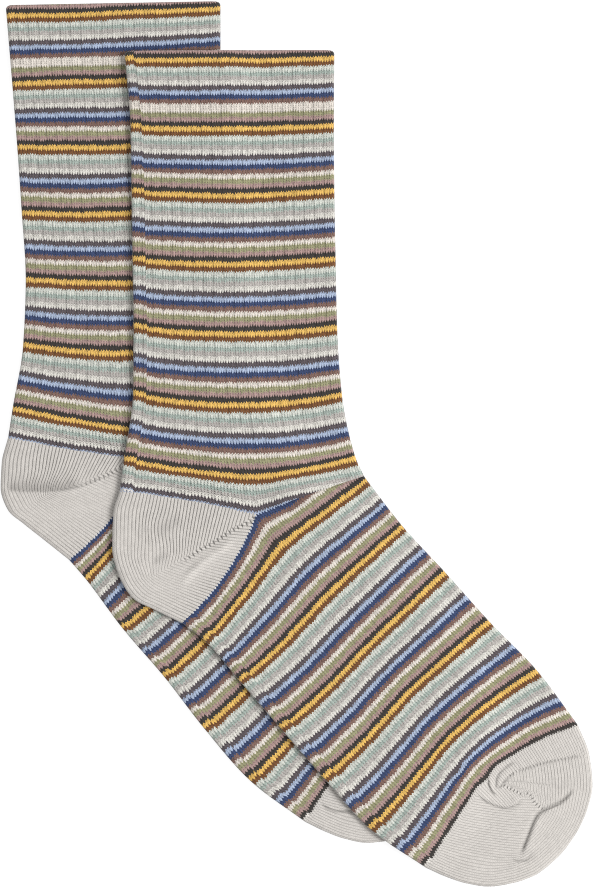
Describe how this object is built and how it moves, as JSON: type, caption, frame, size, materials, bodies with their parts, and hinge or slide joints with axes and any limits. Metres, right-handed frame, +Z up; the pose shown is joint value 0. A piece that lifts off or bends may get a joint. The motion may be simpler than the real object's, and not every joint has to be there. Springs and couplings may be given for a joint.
{
  "type": "pair of crew socks",
  "caption": "Pair of striped knitted crew socks with ribbed legs and plain grey heels and toes, laid flat so that the upper sock overlaps the lower.",
  "frame": {"origin": "on the surface that the socks lie on, at the centre of the pair's outline box", "axes": "+X across the legs from the lower sock to the upper one, +Y up the legs from the toes to the cuffs, +Z up off the surface"},
  "size_m": [0.2367, 0.3544, 0.0065],
  "materials": {
    "striped_knit": "matte fine cotton knit in two-course stripes of muted colours",
    "grey_knit": "matte fine cotton knit in light warm grey"
  },
  "bodies": {
    "root": {"lower_welt": "striped_knit", "lower_leg": "striped_knit", "lower_heel": "grey_knit", "lower_foot": "striped_knit", "lower_toe": "grey_knit", "upper_welt": "striped_knit", "upper_leg": "striped_knit", "upper_heel": "grey_knit", "upper_foot": "striped_knit", "upper_toe": "grey_knit"}
  },
  "joints": []
}
